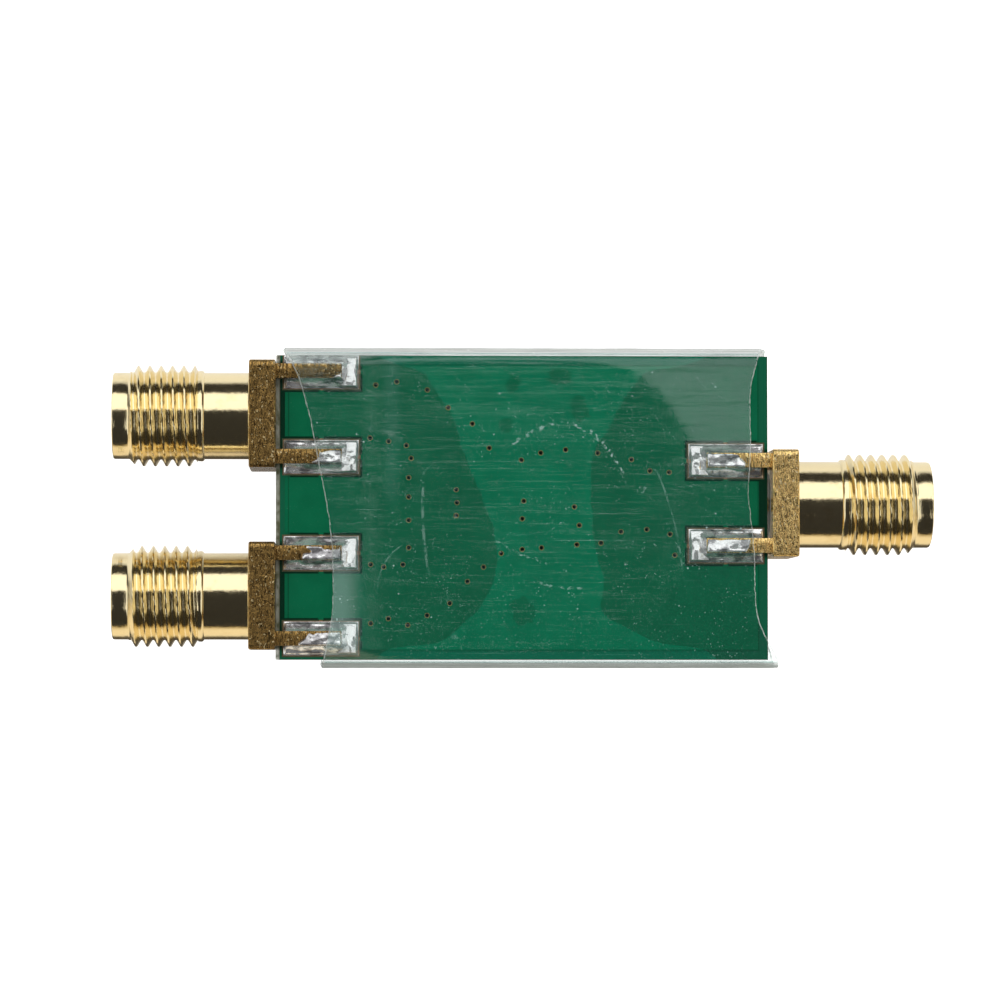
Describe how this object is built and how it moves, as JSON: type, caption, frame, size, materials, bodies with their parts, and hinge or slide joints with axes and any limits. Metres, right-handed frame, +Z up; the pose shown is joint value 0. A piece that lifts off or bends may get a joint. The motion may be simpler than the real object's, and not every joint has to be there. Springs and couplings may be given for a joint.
{
  "type": "rf return-loss bridge module",
  "caption": "Small RF bridge: threaded coaxial jacks soldered to the ends of a green circuit board in a clear shrink sleeve, with a ferrite-bead balun underneath.",
  "frame": {"origin": "centre of the footprint, on the plane under the three jack flanges", "axes": "+X along the axis of the single test port, out of the module; +Z up, out of the solder side of the board; +Y towards the source port's side"},
  "size_m": [0.0512, 0.02, 0.0067],
  "materials": {
    "fr4": "matte glass-epoxy laminate, sawn edges",
    "foil": "copper foil, dull",
    "solder_mask": "semi-gloss green resist",
    "gold_plate": "gold-plated brass, polished barrel and brushed flange",
    "ptfe": "waxy white fluoropolymer",
    "contact_gold": "gold-plated spring bronze",
    "solder": "bright tin solder, slightly wrinkled",
    "chip_alumina": "alumina chip with a black glaze on one face",
    "tin_plate": "matt tin plate",
    "cable_tin": "tinned copper braid, solder-filled",
    "ferrite": "dark grey sintered ferrite",
    "sleeve_film": "clear shrunk polyolefin film, slightly hazy"
  },
  "bodies": {
    "root": {"board_core": "fr4", "rear_copper": "foil", "front_copper": "foil", "rear_solder_mask": "solder_mask", "front_solder_mask": "solder_mask", "via_barrels": "foil", "rear_ground_solder": "solder", "front_ground_solder": "solder", "contact_solder": "solder", "resistor_solder": "solder", "cable_solder": "solder", "balun_cable_shield": "cable_tin", "balun_cable_dielectric": "ptfe", "balun_cable_core": "cable_tin", "heat_shrink_sleeve": "sleeve_film", "source_port_shell": "gold_plate", "source_port_insulator": "ptfe", "source_port_contact": "contact_gold", "detector_port_shell": "gold_plate", "detector_port_insulator": "ptfe", "detector_port_contact": "contact_gold", "test_port_shell": "gold_plate", "test_port_insulator": "ptfe", "test_port_contact": "contact_gold", "source_shunt_resistor_body": "chip_alumina", "source_shunt_resistor_caps": "tin_plate", "reference_arm_resistor_body": "chip_alumina", "reference_arm_resistor_caps": "tin_plate", "reference_resistor_body": "chip_alumina", "reference_resistor_caps": "tin_plate", "balance_resistor_body": "chip_alumina", "balance_resistor_caps": "tin_plate", "series_resistor_body": "chip_alumina", "series_resistor_caps": "tin_plate", "ferrite_bead_1": "ferrite", "ferrite_bead_2": "ferrite", "ferrite_bead_3": "ferrite", "ferrite_bead_4": "ferrite"}
  },
  "joints": []
}
